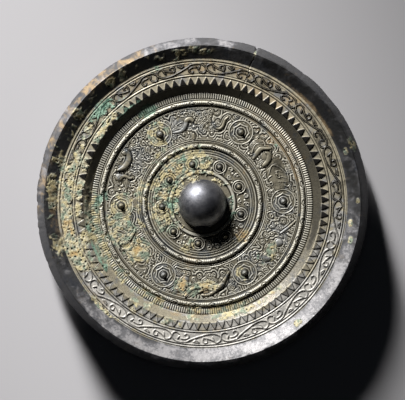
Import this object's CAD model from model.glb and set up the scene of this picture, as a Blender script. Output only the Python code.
"""The bronze mirror as it looks: turned zones, relief carved on them by hand, and patina.

Relief is laid out in millimetres and degrees, counted anticlockwise from +X.
"""

import math

import bpy
import numpy as np
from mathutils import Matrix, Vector


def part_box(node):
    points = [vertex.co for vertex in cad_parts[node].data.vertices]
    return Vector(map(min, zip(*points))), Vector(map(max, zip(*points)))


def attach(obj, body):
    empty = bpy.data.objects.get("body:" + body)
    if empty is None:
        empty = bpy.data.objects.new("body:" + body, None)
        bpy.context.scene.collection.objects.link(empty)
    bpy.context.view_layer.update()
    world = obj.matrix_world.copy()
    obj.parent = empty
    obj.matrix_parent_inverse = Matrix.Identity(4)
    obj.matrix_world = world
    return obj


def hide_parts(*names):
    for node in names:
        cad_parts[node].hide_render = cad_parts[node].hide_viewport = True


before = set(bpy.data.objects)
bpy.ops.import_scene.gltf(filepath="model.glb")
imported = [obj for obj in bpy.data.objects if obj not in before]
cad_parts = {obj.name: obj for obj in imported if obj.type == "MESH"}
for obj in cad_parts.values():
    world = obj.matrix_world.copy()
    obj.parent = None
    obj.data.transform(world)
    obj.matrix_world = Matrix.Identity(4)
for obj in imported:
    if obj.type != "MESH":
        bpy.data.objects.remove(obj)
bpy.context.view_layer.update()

MM = 0.001

# Main sizes, from the CAD part's box
lowest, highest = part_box("bronze_mirror")
OUTLINE = (highest[0] - lowest[0]) / 2 / MM
TOP = highest[2] / MM

# Thicknesses and circles, as in the CAD part
FIELD_THICKNESS = 2.8
RIM_ZONE_THICKNESS = 5.9
CREST_THICKNESS = 9.9
LIP_THICKNESS = 1.2
FACE_SAGITTA = 4.0
FLAT_SPOT = 30.0
CREST = OUTLINE - 5.1
CREST_HALF = 0.6
INNER_SHOULDER_DROP = 0.3
OUTER_SHOULDER_DROP = 0.6
RIM_FOOT = OUTLINE - 13.0
STEP_TOP = 0.716 * OUTLINE
STEP_FOOT = 0.670 * OUTLINE
OUTER_RIDGE = 0.609 * OUTLINE
INNER_RIDGE = 0.3495 * OUTLINE
RIDGE_HALF = 1.45
RIDGE_HEIGHT = 1.6
BOSS_RADIUS = 15.0
TUNNEL_WIDTH = 8.2
TUNNEL_HEIGHT = 5.6
TUNNEL_FLOOR = 3.1
LARGE_CIRCLE = 0.4895 * OUTLINE
SMALL_CIRCLE = 24.9

# Where the pieces meet, and how far their sides reach down into the disc
SCROLL_INNER = 80.35
COMB_OUTER = STEP_FOOT
BEASTS_OUTER = 58.9
BEASTS_INNER = 40.25
NIPPLES_OUTER = 28.95
NIPPLES_INNER = 14.4
SUNK = 0.9

# How close points have to be to become one, in metres
WELD = 0.000004

# The thin lines, in their usual width, and the room left round a mark when its places are looked up
LINE_WIDTH = 0.6
SPARE = 0.1

# The scroll band: its lines, and the length, foot and height of a unit as drawn and as laid
SCROLL_LINES = ((88.45, 0.36), (86.95, 0.32))
SCROLL_GROOVE = 87.7
UNIT_LENGTH = 22.6
DRAWN_FOOT = 80.5
SCROLL_FOOT = 80.6
SCROLL_SQUEEZE = 0.88
SCROLL_STARTS = (1.35, 24.6, *(46.2 + 21.06 * step for step in range(13)), 320.0, 340.4, 361.35)
THREAD_WIDTH = 0.95
THREAD_HEIGHT = 0.55
THREADS_END = 86.5

# The sawtooth band
TEETH_LINE = 79.2
TEETH_GROOVES = (78.45, 80.0)
TOOTH_COUNT = 96
TOOTH_TIP = 78.3
TOOTH_FOOT = 73.7
TOOTH_HEIGHT = 0.5

# The comb
RIB_COUNT = 300
RIB_HEIGHT = 0.48
RIBS_OUTER = 68.1
RIBS_INNER = 65.3
COMB_LINES = ((64.5, 0.6, 0.34), (59.3, 0.55, 0.30))

# Thin circles at the beasts' feet, on both sides of the inner ridge and round the small nipples
BEASTS_LINE = (40.75, 0.5, 0.30)
RIDGE_LINES = (
    (39.6, LINE_WIDTH, 0.34), (38.5, LINE_WIDTH, 0.34), (37.6, LINE_WIDTH, 0.34),
    (33.2, 0.5, 0.30), (31.6, 0.5, 0.30), (30.2, 0.5, 0.30),
)
NIPPLES_LINE = (28.9, 0.4, 0.25)

# The nipples: their seats, rings and cones
LARGE_SEAT = 7.9
LARGE_CONE = 2.5
LARGE_CONE_HEIGHT = 3.0
ARC_COUNT = 7
ARC_PITCH = 360.0 / ARC_COUNT
ARC_CIRCLE = 4.45
FIRST_ARC = 95.0
FIRST_LARGE = 1.5
SMALL_COUNT = 9
SMALL_SEAT = 4.3
SMALL_CONE = 1.95
SMALL_CONE_HEIGHT = 2.1
FIRST_SMALL = 24.4


def lift(radius):
    """How far the bulge of the reflecting face raises the disc at this radius."""
    share = (np.maximum(radius, FLAT_SPOT) ** 2 - FLAT_SPOT**2) / (OUTLINE**2 - FLAT_SPOT**2)
    return FACE_SAGITTA * share


def back(radius):
    """Height of the decorated side at this radius, without its relief."""
    profile = (
        (0.0, FIELD_THICKNESS),
        (STEP_FOOT, FIELD_THICKNESS),
        (STEP_TOP, RIM_ZONE_THICKNESS),
        (RIM_FOOT, RIM_ZONE_THICKNESS),
        (CREST - CREST_HALF, CREST_THICKNESS - INNER_SHOULDER_DROP),
        (CREST, CREST_THICKNESS),
        (CREST + CREST_HALF, CREST_THICKNESS - OUTER_SHOULDER_DROP),
        (OUTLINE, LIP_THICKNESS),
    )
    circles, thicknesses = zip(*profile)
    return lift(radius) + np.interp(radius, circles, thicknesses)


def at(turn, radius):
    """The point at this angle and radius."""
    angle = math.radians(turn)
    return radius * math.cos(angle), radius * math.sin(angle)


def beside(middle, turn, away):
    """The point at this angle and distance from another point."""
    x, y = at(turn, away)
    return middle[0] + x, middle[1] + y


def smooth_path(points, pieces=5):
    """A curve through the points, which may carry more numbers than two."""
    given = np.array(points, dtype=float)
    before = np.vstack([2 * given[0] - given[1], given, 2 * given[-1] - given[-2]])
    share = np.linspace(0.0, 1.0, pieces, endpoint=False)[:, None]
    path = []
    for a, b, c, d in zip(before[:-3], before[1:-2], before[2:-1], before[3:]):
        bend = (2 * a - 5 * b + 4 * c - d) * share**2 + (3 * b - a - 3 * c + d) * share**3
        path.append(b + 0.5 * ((c - a) * share + bend))
    path.append(given[-1][None, :])
    return np.vstack(path)


def ramp(value, start, end):
    """0 up to start, 1 from end, and an even S between."""
    share = np.clip((value - start) / (end - start), 0.0, 1.0)
    return share * share * (3 - 2 * share)


def rounded(share, power=0.5):
    """A rounded rise: 1 in the middle, and 0 from where the share of the half width reaches 1."""
    return np.clip(1 - share**2, 0, 1) ** power


def grain(x, y, size, seed):
    """Soft random noise from 0 to 1, with lumps of about this size, on a lattice of its own turn."""
    reach = 1.5 * OUTLINE
    count = int(2 * reach / size) + 3
    table = np.random.RandomState(seed).rand(count, count)
    cosine, sine = math.cos(seed), math.sin(seed)
    across = (x * cosine - y * sine + reach) / size
    up = (x * sine + y * cosine + reach) / size
    column = across.astype(int)
    row = up.astype(int)
    a = across - column
    b = up - row
    a = a * a * (3 - 2 * a)
    b = b * b * (3 - 2 * b)
    near = table[column, row] * (1 - a) + table[column + 1, row] * a
    far = table[column, row + 1] * (1 - a) + table[column + 1, row + 1] * a
    return near * (1 - b) + far * b


def clouds(x, y, size, seed):
    """Noise of four sizes together, from 0 to 1, with its lumps pulled out of round."""
    x = x + 0.8 * size * (grain(x, y, size * 0.8, seed + 5) - 0.5)
    y = y + 0.8 * size * (grain(x, y, size * 0.8, seed + 6) - 0.5)
    total = 0.40 * grain(x, y, size, seed) + 0.28 * grain(x, y, size * 0.5, seed + 1)
    total += 0.19 * grain(x, y, size * 0.26, seed + 2) + 0.13 * grain(x, y, size * 0.13, seed + 3)
    return np.clip(0.5 + 1.5 * (total - 0.5), 0, 1)


def pitted(x, y, spacing, size, seed):
    """1 in the middle of scattered round pits, falling to 0 at their edges."""
    reach = 1.2 * OUTLINE
    count = int(2 * reach / spacing) + 4
    table = np.random.RandomState(seed).rand(count, count, 3)
    column = ((x + reach) / spacing).astype(int)
    row = ((y + reach) / spacing).astype(int)
    deepest = np.zeros(x.shape)
    for across in (-1, 0, 1):
        for up in (-1, 0, 1):
            cell = table[column + across, row + up]
            away = np.hypot(
                x + reach - (column + across + cell[..., 0]) * spacing,
                y + reach - (row + up + cell[..., 1]) * spacing,
            )
            deepest = np.maximum(deepest, 1 - away / (size * (0.3 + 0.7 * cell[..., 2])))
    return deepest


class Surface:
    """Points on a piece, by angle and radius, with their relief and the masks of their patina."""

    def __init__(self, turn, radius):
        self.turn = turn
        self.radius = radius
        self.x = radius * np.cos(np.radians(turn))
        self.y = radius * np.sin(np.radians(turn))
        self.height = np.zeros(turn.shape)
        self.blackened = np.zeros(turn.shape)
        self.inked = np.zeros(turn.shape)
        self.bodies = np.zeros(turn.shape)
        self.masks = {}


class Zone(Surface):
    """The top of one turned piece, as a grid of points round the mirror and across."""

    def __init__(self, name, radii, steps):
        self.name = name
        self.radii = np.array(radii, dtype=float)
        self.steps = steps
        self.pitch = 360.0 / steps
        turns = np.arange(steps) * self.pitch
        super().__init__(*np.meshgrid(turns, self.radii, indexing="ij"))

    def near(self, points, reach):
        """Grid places within reach of these points, with their x and y."""
        points = np.asarray(points, dtype=float)
        radii = np.hypot(points[:, 0], points[:, 1])
        turns = np.degrees(np.unwrap(np.arctan2(points[:, 1], points[:, 0])))
        spare = math.degrees(reach / max(radii.min(), 5.0)) + self.pitch
        first = int((turns.min() - spare) // self.pitch)
        last = int((turns.max() + spare) // self.pitch) + 1
        middle = (radii.min() + radii.max()) / 2
        across = reach + (radii.max() - radii.min()) / 2
        rows = np.nonzero(np.abs(self.radii - middle) < across)[0]
        places = np.ix_(np.arange(first, last + 1) % self.steps, rows)
        return places, self.x[places], self.y[places]

    def near_point(self, middle, reach):
        """Grid places within reach of a point, with their distances from it."""
        places, x, y = self.near([middle], reach)
        return places, np.hypot(x - middle[0], y - middle[1])

    def closeness(self, path, halves, x, y):
        """Distance from the path as a share of its half width there."""
        closest = np.full(x.shape, np.inf)
        for index in range(len(path) - 1):
            (ax, ay), (bx, by) = path[index], path[index + 1]
            dx, dy = bx - ax, by - ay
            length = max(dx * dx + dy * dy, 1e-9)
            share = np.clip(((x - ax) * dx + (y - ay) * dy) / length, 0.0, 1.0)
            away = np.hypot(x - ax - share * dx, y - ay - share * dy)
            half = halves[index] + (halves[index + 1] - halves[index]) * share
            closest = np.minimum(closest, away / half)
        return closest

    def raised(self, places, rise, over):
        """Lays a rise on top of what is there, or lets the higher of the two stand."""
        if over:
            self.height[places] += rise
        else:
            self.height[places] = np.maximum(self.height[places], rise)

    def stroke(self, points, width, height, over=False, ends=0.4):
        """A rounded line through points given as (degrees, radius), thinner at its ends."""
        path = smooth_path([at(*point) for point in points])
        along = np.linspace(0.0, 1.0, len(path))
        halves = width / 2 * (ends + (1 - ends) * np.sqrt(np.sin(np.pi * along)))
        places, x, y = self.near(path, width / 2 + SPARE)
        self.raised(places, height * rounded(self.closeness(path, halves, x, y)), over)

    def body(self, points, height, over=False, power=0.5):
        """A broad rounded shape through points given as (degrees, radius, width)."""
        path = smooth_path([(*at(turn, radius), width) for turn, radius, width in points])
        places, x, y = self.near(path[:, :2], path[:, 2].max() / 2 + SPARE)
        closest = self.closeness(path[:, :2], np.maximum(path[:, 2], 0.1) / 2, x, y)
        self.raised(places, height * rounded(closest, power), over)

    def curl(self, turn, radius, size, start, sweep, width, height, over=False):
        """A spiral line that winds in towards the point at this angle and radius."""
        middle = at(turn, radius)
        count = max(int(abs(sweep) / 28), 4)
        path = []
        for step in range(count + 1):
            share = step / count
            path.append(beside(middle, start + sweep * share, size * (1 - 0.62 * share)))
        path = smooth_path(path, 3)
        places, x, y = self.near(path, width / 2 + SPARE)
        halves = np.linspace(width * 0.38, width * 0.55, len(path))
        self.raised(places, height * rounded(self.closeness(path, halves, x, y)), over)

    def dome(self, turn, radius, size, height, over=False):
        """A rounded knob at this angle and radius."""
        places, away = self.near_point(at(turn, radius), size + SPARE)
        self.raised(places, height * rounded(away / size), over)

    def round_line(self, middle, size, width, height):
        """A raised ring round a point given in millimetres."""
        places, away = self.near_point(middle, size + width)
        self.raised(places, height * rounded(np.abs(away - size) / (width / 2)), True)

    def seat(self, middle, size, height):
        """Clears a round place and raises it a little."""
        places, away = self.near_point(middle, size + 0.4)
        flat = height * np.clip((size - away) / 0.3, 0, 1)
        self.height[places] = np.where(away < size, flat, self.height[places])

    def cone(self, middle, size, height):
        """A nipple with a rounded tip."""
        places, away = self.near_point(middle, size + SPARE)
        away = away / size
        self.raised(places, height * (1 - ramp(away, 0.0, 1.0) ** 0.8) * (away < 1), True)
        self.blackened[places] = np.maximum(self.blackened[places], 1 - ramp(away, 0.55, 1.05))

    def stands_out(self, reach):
        """How far each point stands over the mean height round it."""
        spread = max(int(round(reach / (self.radii.mean() * math.radians(self.pitch)))), 1)
        mean = sum(np.roll(self.height, shift, axis=0) for shift in range(-spread, spread + 1))
        mean = mean / (2 * spread + 1)
        across = (self.radii.max() - self.radii.min()) / (len(self.radii) - 1)
        spread = max(int(round(reach / across)), 1)
        wide = np.pad(mean, ((0, 0), (spread, spread)), mode="edge")
        count = len(self.radii)
        total = sum(wide[:, start:start + count] for start in range(2 * spread + 1))
        return self.height - total / (2 * spread + 1)

    def circle_line(self, radius, width, height):
        """A raised line all the way round the mirror, a little uneven in height."""
        away = np.abs(self.radius - radius) / (width / 2)
        wave = 0.8 + 0.4 * grain(self.x, self.y, 7.0, int(radius * 10))
        self.height = np.maximum(self.height, height * wave * rounded(away))

    def groove(self, radius, width, depth):
        """A dark cut all the way round the mirror."""
        cut = rounded(np.abs(self.radius - radius) / (width / 2), 1)
        self.height -= depth * cut
        self.blackened = np.maximum(self.blackened, cut)

    def half_round(self, radius):
        """A ridge all the way round the mirror."""
        away = np.abs(self.radius - radius) / RIDGE_HALF
        self.height += RIDGE_HEIGHT * rounded(away, 0.75)
        self.bodies = np.maximum(self.bodies, 0.1 * (away < 1))


# One unit of the cloud scroll: raised threads, in degrees from its start
SCROLL_THREADS = (
    (
        (0.2, 82.7), (0.3, 84.3), (1.0, 85.6), (2.5, 86.8), (5.2, 86.9), (7.1, 86.4), (8.5, 85.0),
        (11.3, 83.0), (12.9, 82.1), (14.8, 81.4),
    ),
    ((0.1, 83.3), (0.6, 81.3), (1.9, 80.5), (3.3, 81.6)),
    ((2.9, 85.1), (3.3, 84.0), (3.7, 83.0)),
    ((4.4, 84.6), (6.2, 84.6), (7.7, 83.5), (7.8, 81.8), (6.7, 80.8), (5.9, 81.8)),
    ((10.2, 86.1), (12.6, 86.4), (11.3, 85.1), (10.2, 86.0)),
    (
        (14.2, 81.4), (16.7, 80.6), (19.4, 80.5), (21.3, 81.6), (22.5, 83.4), (22.3, 85.5),
        (21, 86.9), (19.8, 86.6), (19.3, 84.4), (18.8, 82.9),
    ),
    ((14.8, 82.9), (14.3, 85.1), (15.0, 86.8), (16.3, 86.2), (16.2, 84.7)),
    ((15.0, 83.2), (17.5, 84.2), (19.6, 85.9)),
)

# Hollows beside the beasts, dug after their relief: depth, then (degrees, radius, width)
HOLLOWS = (
    (0.9, (
        (21.5, 54.9, 0.6), (25, 54.7, 2.5), (29.5, 53.7, 3.7), (30.6, 50.9, 3.4),
        (29.8, 47.8, 2.5), (28, 44.8, 1.0),
    )),
    (0.7, ((38.2, 54.9, 0.7), (38.8, 52.4, 1.4), (40.9, 49.7, 1.6), (40.6, 46.9, 1.0))),
    (0.6, ((73.6, 49.4, 1.0), (74.2, 47.1, 1.2), (77, 46.0, 0.9))),
    (0.6, ((94.4, 53.1, 0.9), (96.4, 49.6, 1.4), (99.6, 47.9, 1.0))),
    (0.5, ((143.2, 56.1, 0.6), (144.7, 53.7, 1.1), (148.4, 51.0, 1.1), (153, 50.8, 1.0))),
    (0.8, ((208.2, 56.8, 0.7), (208.4, 53.1, 1.4), (207.4, 49.4, 1.4), (204.6, 45.7, 0.9))),
    (0.8, ((260.2, 57.8, 0.9), (262.2, 55.5, 1.6), (264.6, 53.6, 1.5), (268.6, 52.8, 1.0))),
    (0.8, ((268, 55.8, 1.6), (271, 55.2, 2.5), (274, 55.3, 1.6))),
    (0.6, ((275.4, 57.4, 1.0), (279, 55.8, 1.4), (282, 54.3, 0.9))),
    (0.7, ((329.4, 47.9, 1.9), (331, 47.4, 2.2))),
    (0.7, ((322, 47.4, 1.6), (323.4, 47.2, 1.7))),
    (0.6, ((349.4, 57.6, 0.7), (345, 54.4, 1.1), (340.4, 51.2, 0.9))),
)

# The beasts' bodies, wings and limbs: height, then (degrees, radius, width)
BODIES = (
    (0.55, ((11, 48.7, 4.3), (16, 49.7, 8.0), (21, 49.4, 9.3), (25.4, 49.2, 6.8), (28.8, 49.5, 1.9))),
    (1.05, (
        (38.6, 53.9, 1.9), (40.6, 51.8, 2.2), (42.9, 49.1, 2.8), (42.4, 45.4, 2.5),
        (41.4, 42.4, 1.6),
    )),
    (0.90, (
        (31.9, 44.8, 1.9), (32.7, 47.9, 2.7), (34.4, 50.0, 2.8), (36.6, 51.1, 2.1),
        (38.6, 50.6, 1.2),
    )),
    (0.45, ((44.4, 52.4, 1.2), (46.6, 50.0, 1.9), (46.8, 47.2, 1.9), (45.8, 44.1, 1.2))),
    (0.85, (
        (94.6, 49.6, 1.0), (96.2, 51.3, 1.7), (98.1, 52.9, 2.1), (100.8, 52.1, 2.2),
        (101.9, 49.9, 2.1), (103.5, 47.8, 2.0), (106.4, 46.6, 1.7), (109.8, 46.8, 1.4),
        (112.6, 47.4, 0.7),
    )),
    (0.35, ((101.8, 53.2, 1.4), (105, 53.6, 2.0), (109, 52.6, 2.0), (112.4, 50.4, 1.2))),
    (0.95, (
        (73.4, 55.8, 1.1), (74.7, 53.8, 1.4), (75.0, 51.5, 1.5), (75.4, 49.3, 1.5),
        (76.9, 47.6, 1.4), (79.4, 47.4, 1.2), (81.5, 48.9, 0.9),
    )),
    (1.25, (
        (145.2, 56.9, 1.5), (146.7, 54.2, 2.7), (149.2, 52.7, 3.5), (152.3, 52.4, 3.5),
        (155.8, 53.6, 2.8), (158.3, 55.9, 1.5),
    )),
    (0.90, ((161.2, 52.2, 1.9), (160.5, 50.2, 1.6), (160.9, 47.6, 1.4), (160, 46.2, 0.9))),
    (0.55, ((161.6, 49.0, 1.2), (164.2, 48.5, 1.4), (167.2, 47.3, 0.7))),
    (0.60, ((132.2, 41.7, 1.2), (134, 40.8, 2.5), (136, 39.9, 1.2))),
    (0.80, ((97.3, 43.1, 1.2), (97.2, 41.5, 1.9), (97.3, 40.0, 1.2))),
    (1.05, ((206.4, 56.1, 1.2), (206.3, 52.4, 1.9), (204.9, 48.5, 2.0), (201.8, 45.0, 1.2))),
    (0.80, ((210, 56.6, 1.2), (211.3, 53.8, 1.9), (210.8, 51.2, 1.9), (209.2, 48.7, 1.2))),
    (0.70, ((213, 53.7, 2.5), (215.4, 50.6, 4.9), (218.6, 48.5, 4.9), (221, 46.3, 2.5))),
    (0.60, ((190, 45.7, 1.9), (193, 48.7, 4.3), (195, 53.1, 3.1))),
    (1.25, (
        (259.7, 58.0, 1.6), (262.3, 54.5, 2.4), (267.2, 51.6, 2.9), (273.1, 51.0, 3.0),
        (278, 52.7, 3.2), (282.9, 52.0, 2.7), (286.9, 48.8, 1.8), (290.9, 45.5, 1.0),
    )),
    (0.90, ((268, 54.4, 1.4), (271.7, 56.6, 1.7), (276, 55.9, 1.9), (279.5, 54.2, 1.5))),
    (0.70, ((253.6, 55.5, 3.1), (255.8, 51.8, 4.3), (257.6, 48.1, 3.1))),
    (0.90, ((321, 54.3, 1.9), (323.6, 52.1, 3.7), (326.4, 50.3, 4.3), (329.6, 49.6, 2.5))),
    (0.70, ((349.6, 58.6, 0.9), (346, 56.3, 1.4), (342.6, 53.9, 1.4), (339.2, 51.8, 0.9))),
)

# Haunches and heads: middle, size and height
DOMES = (
    (37, 48.4, 2.3, 0.5), (162.7, 53.8, 2.2, 1.2), (320.5, 52.0, 2.7, 1.05),
    (332.9, 53.3, 2.2, 0.9), (269.6, 53.8, 1.0, 0.8), (147, 57.1, 1.5, 0.9),
)

# Raised lines on top of whatever is under them: width, height, then each line's (degrees, radius)
BEAST_LINES = (
    (0.8, 0.45, (
        ((19.6, 55.3), (24.4, 53.2), (28.6, 49.7), (26.6, 46.8), (23.4, 44.9)),
    )),
    (0.7, 0.4, (
        ((12.7, 55.9), (11.4, 54.0), (12.8, 52.0)), ((21.9, 46.5), (21.5, 44.3), (19.8, 42.9)),
        ((46.4, 57.8), (46.6, 56.0), (48.6, 55.8)), ((52.4, 56.9), (52.7, 55.3), (54.4, 55.4)),
    )),
    (0.6, 0.3, (
        ((14.2, 53.9), (15.4, 51.5), (16.2, 49.1)), ((16.6, 54.4), (18.4, 52.3), (18.6, 50.1)),
        ((21.4, 53.3), (23.2, 51.3), (23.6, 49.0)),
        ((97, 57.6), (99.4, 57.0), (101.6, 57.5), (103.8, 57.0)),
        ((160.6, 55.7), (164.2, 56.3), (166.8, 54.5), (166.2, 52.3)),
    )),
    (0.6, 0.35, (
        ((39.6, 50.5), (40.2, 48.9), (39.4, 47.1), (37.6, 46.0)),
        ((34.6, 47.0), (35.2, 44.8), (34.2, 42.8)), ((36.8, 46.0), (36.9, 44.3), (36.4, 42.9)),
        ((50.3, 54.3), (50.6, 52.2)), ((79.2, 52.2), (80.1, 51.1), (79.4, 49.9), (77.8, 50.2)),
        ((79.6, 57.6), (80.4, 56.0), (82.2, 56.4)),
        ((109.2, 56.1), (110.5, 52.8), (110, 50.3), (107.6, 48.5), (105.4, 47.9)),
        ((85.8, 52.1), (88.4, 49.7), (91, 47.6)), ((87.2, 53.4), (90, 51.1), (93, 48.7)),
        ((84, 54.5), (85.6, 52.8), (84.2, 51.1)), ((114.2, 55.5), (113, 53.2), (113.4, 50.6)),
        ((135.2, 53.6), (136.9, 54.2), (138.8, 54.0), (140.6, 55.0), (142.2, 55.2), (143.9, 56.4)),
        ((147.8, 50.1), (148.4, 48.1), (147.2, 46.3), (147.6, 44.4), (146.4, 43.2)),
        ((133.6, 48.1), (135.4, 46.9), (136.2, 45.3), (138.4, 44.2)),
        ((135.4, 49.7), (137.4, 48.4), (138.4, 46.6), (140.8, 45.4)),
        ((137.6, 51.3), (139.8, 49.9), (141, 48.1)), ((150.2, 50.2), (152.4, 49.1), (154.6, 49.6)),
        ((168.6, 54.5), (170.8, 53.2), (170.2, 51.1)),
        ((213.2, 58.4), (214.6, 56.4), (217.6, 55.8)),
        ((222.6, 54.5), (225.2, 53.3), (226.8, 51.2)), ((224, 56.6), (227.4, 55.0), (229.4, 52.8)),
        ((250.2, 57.1), (254.4, 57.6), (258.6, 57.4), (255.4, 56.0), (252.5, 54.8), (250.3, 56.9)),
        ((262.6, 47.9), (264.2, 47.0), (263.4, 45.8)), ((286.6, 58.2), (290, 58.5), (293, 57.4)),
        ((310.2, 53.1), (312.2, 54.9), (315.6, 55.4)), ((312.8, 52.2), (314.6, 53.6), (317, 53.9)),
        ((316.4, 49.6), (318.2, 48.2), (320.6, 48.1)),
        ((334.8, 56.8), (337.6, 56.3), (338.9, 54.3)),
        ((341.3, 45.2), (342.4, 46.3), (344.6, 45.9)),
        ((351.4, 57.1), (353.4, 55.2), (352.6, 53.1)), ((9.4, 57.9), (7.9, 57.0), (8.2, 55.7)),
    )),
    (0.55, 0.35, (
        ((44.2, 53.2), (47.2, 50.8), (48.0, 48.4), (47.0, 46.0), (45.8, 44.1)),
        ((45.6, 53.4), (49.4, 50.7), (50.0, 48.2), (49.0, 45.8)),
    )),
    (0.55, 0.3, (
        ((43.4, 52.2), (45.2, 50.0), (45.5, 47.6), (44.8, 45.3)),
    )),
    (0.5, 0.28, (
        ((20.0, 58.5), (20.6, 56.5)), ((21.6, 58.6), (22.1, 56.6)), ((23.1, 58.6), (23.5, 56.6)),
        ((24.6, 58.6), (24.9, 56.8)), ((26.0, 58.5), (26.3, 56.8)), ((147.4, 59.1), (147.8, 57.6)),
        ((149.6, 59.2), (149.9, 57.6)), ((151.8, 59.2), (152, 57.6)), ((154, 59.1), (154.1, 57.8)),
        ((252.8, 56.8), (254.8, 55.9)), ((254.4, 57.0), (256.2, 56.4)),
    )),
    (0.7, 0.45, (
        ((196.2, 57.0), (196.8, 55.2), (199.2, 52.4), (202, 50.3)),
    )),
    (0.6, 0.4, (
        ((198.2, 57.5), (199.4, 54.8), (201.6, 52.3)),
        ((200.6, 58.0), (201.8, 55.5), (203.6, 53.3)),
        ((270.2, 47.9), (272.4, 46.9), (273.8, 45.9), (273.6, 44.2)),
        ((276, 47.8), (278.2, 47.8), (280.6, 48.5)),
    )),
    (0.5, 0.3, (
        ((248.4, 46.0), (248.8, 43.9)), ((249.8, 46.0), (250.1, 43.9)),
        ((251.2, 46.0), (251.4, 43.9)), ((252.6, 45.9), (252.7, 44.1)),
        ((246.4, 59.2), (247, 58.0)), ((248.2, 59.4), (248.6, 58.1)),
    )),
)

# Spiral curls: middle, size, first angle and how far they wind
CURLS = (
    (19.8, 50.3, 1.4, 120, 300), (8.8, 43.8, 1.5, 60, 330), (16.3, 44.4, 1.4, 200, 300),
    (25.6, 42.9, 1.2, 30, 300), (53.4, 51.5, 1.2, 40, 280), (54, 45.8, 1.3, 90, 300),
    (68.4, 57.4, 1.1, 0, 300), (69.4, 44.7, 1.2, 90, -300), (87.7, 55.3, 1.4, 30, 330),
    (91.6, 55.2, 1.4, 200, -330), (96.0, 55.3, 1.4, 60, 330), (93.4, 53.4, 1.2, 140, -300),
    (88.6, 52.2, 1.1, 250, 300), (92.7, 50.1, 1.2, 30, 300), (100.4, 55.9, 1.4, 180, -330),
    (105, 56.8, 1.4, 0, 330), (84.4, 57.5, 1.1, 100, 300), (113, 43.9, 1.4, 60, 330),
    (83.4, 46.5, 1.2, 200, 300), (104.6, 44.1, 1.0, 0, 280), (88, 44.5, 1.1, 90, 300),
    (116.4, 57.4, 1.1, 180, 300), (131.8, 55.0, 1.3, 0, 320), (137.8, 57.0, 1.2, 90, 300),
    (144.2, 52.1, 1.2, 20, 300), (142.2, 46.9, 1.4, 150, 330), (155.2, 45.7, 1.4, 60, -330),
    (151.6, 47.3, 1.2, 200, 300), (170.6, 48.4, 1.2, 90, 320), (155.2, 58.6, 1.0, 0, 280),
    (172.2, 56.1, 1.2, 240, 300), (166, 44.3, 1.2, 30, 300), (129.8, 45.9, 1.2, 200, 300),
    (140.8, 42.8, 1.1, 0, 300), (228.6, 57.8, 1.2, 60, 300), (226.4, 47.9, 1.2, 0, -320),
    (231.2, 45.0, 1.1, 120, 300), (219.4, 57.8, 1.1, 200, 300), (203.4, 42.9, 1.2, 90, 300),
    (190.8, 57.1, 1.2, 0, 300), (263.8, 47.4, 1.5, 60, 340), (284.4, 48.5, 1.3, 200, 320),
    (289.2, 54.7, 1.5, 20, 350), (258.8, 45.0, 1.2, 0, 300), (268, 44.4, 1.1, 180, 300),
    (279.2, 44.7, 1.2, 90, -300), (286, 44.8, 1.2, 0, 300), (291.6, 50.8, 1.1, 200, 280),
    (278.6, 58.1, 1.1, 60, 300), (272.4, 58.6, 1.0, 200, 300), (308.8, 57.8, 1.4, 0, 340),
    (313.5, 57.5, 1.2, 180, -330), (324.6, 57.6, 1.3, 60, 330), (313.5, 47.3, 1.4, 200, 340),
    (308.8, 44.4, 1.2, 90, 320), (314.6, 44.3, 1.2, 0, -320), (347.7, 51.2, 1.4, 30, 340),
    (343.3, 50.2, 1.1, 200, 300), (350, 43.9, 1.3, 90, 330), (338.5, 48.1, 1.2, 0, 300),
    (327.6, 44.2, 1.2, 60, 300), (333.6, 44.3, 1.1, 200, -300), (353.8, 48.5, 1.1, 120, 300),
    (319.2, 56.9, 1.0, 0, 280), (329.6, 57.9, 1.1, 90, 300), (337.4, 58.4, 1.0, 240, 280),
    (343, 58.1, 1.0, 30, 280), (356, 57.6, 1.0, 150, 280),
)

# Beads: middle, size and height
BEADS = (
    (21.9, 49.5, 0.7, 0.5), (38.5, 44.0, 0.9, 0.5), (46.9, 42.2, 0.8, 0.45), (32, 42.6, 0.7, 0.4),
    (33.6, 41.6, 0.6, 0.4), (90.8, 46.0, 0.7, 0.45), (96.2, 47.9, 0.8, 0.45),
    (82.3, 44.2, 0.7, 0.45), (100.8, 44.2, 0.7, 0.45), (86.4, 47.9, 0.6, 0.4),
    (137.6, 54.9, 0.7, 0.5), (141.2, 55.9, 0.7, 0.45), (151.5, 49.5, 0.8, 0.5),
    (131.8, 51.2, 0.7, 0.45), (170.4, 51.6, 0.8, 0.5), (198.6, 47.1, 0.7, 0.45),
    (216.4, 56.8, 0.7, 0.4), (229.8, 55.3, 0.7, 0.4), (255.6, 44.1, 0.7, 0.45),
    (276, 44.8, 0.7, 0.45), (284.8, 51.5, 0.7, 0.4), (317.8, 45.7, 0.8, 0.5),
    (336.4, 47.0, 0.7, 0.45), (345.2, 48.5, 0.7, 0.4), (354.4, 46.0, 0.7, 0.45),
)

# Lines, curls and beads of the inner zone, in degrees from a small nipple's middle
INNER_LINES = (
    ((12.2, 28.6), (14.6, 29.1), (17.2, 28.0), (17.0, 26.3), (14.8, 25.8)),
    ((27.4, 28.1), (25.6, 28.9), (23.4, 27.9), (24.2, 26.3)),
    ((15.2, 23.6), (19.2, 22.0), (23.8, 23.6)),
)
INNER_CURLS = (
    (26.0, 27.6, 1.3, 200, -330, 0.6, 0.4),
    (14.4, 27.9, 1.3, 0, 330, 0.6, 0.4),
    (20.0, 23.6, 1.1, 90, 330, 0.55, 0.36),
)
INNER_BEADS = ((20.2, 26.4, 0.75, 0.45), (29.4, 22.6, 0.6, 0.4), (10.6, 22.6, 0.6, 0.4))

# The crack, from the outline in
CRACK = (
    (70.7, OUTLINE), (70.4, 96), (70.9, 90), (70.5, 84), (70.9, 77), (70.6, 70), (71.0, 64),
)

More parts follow.
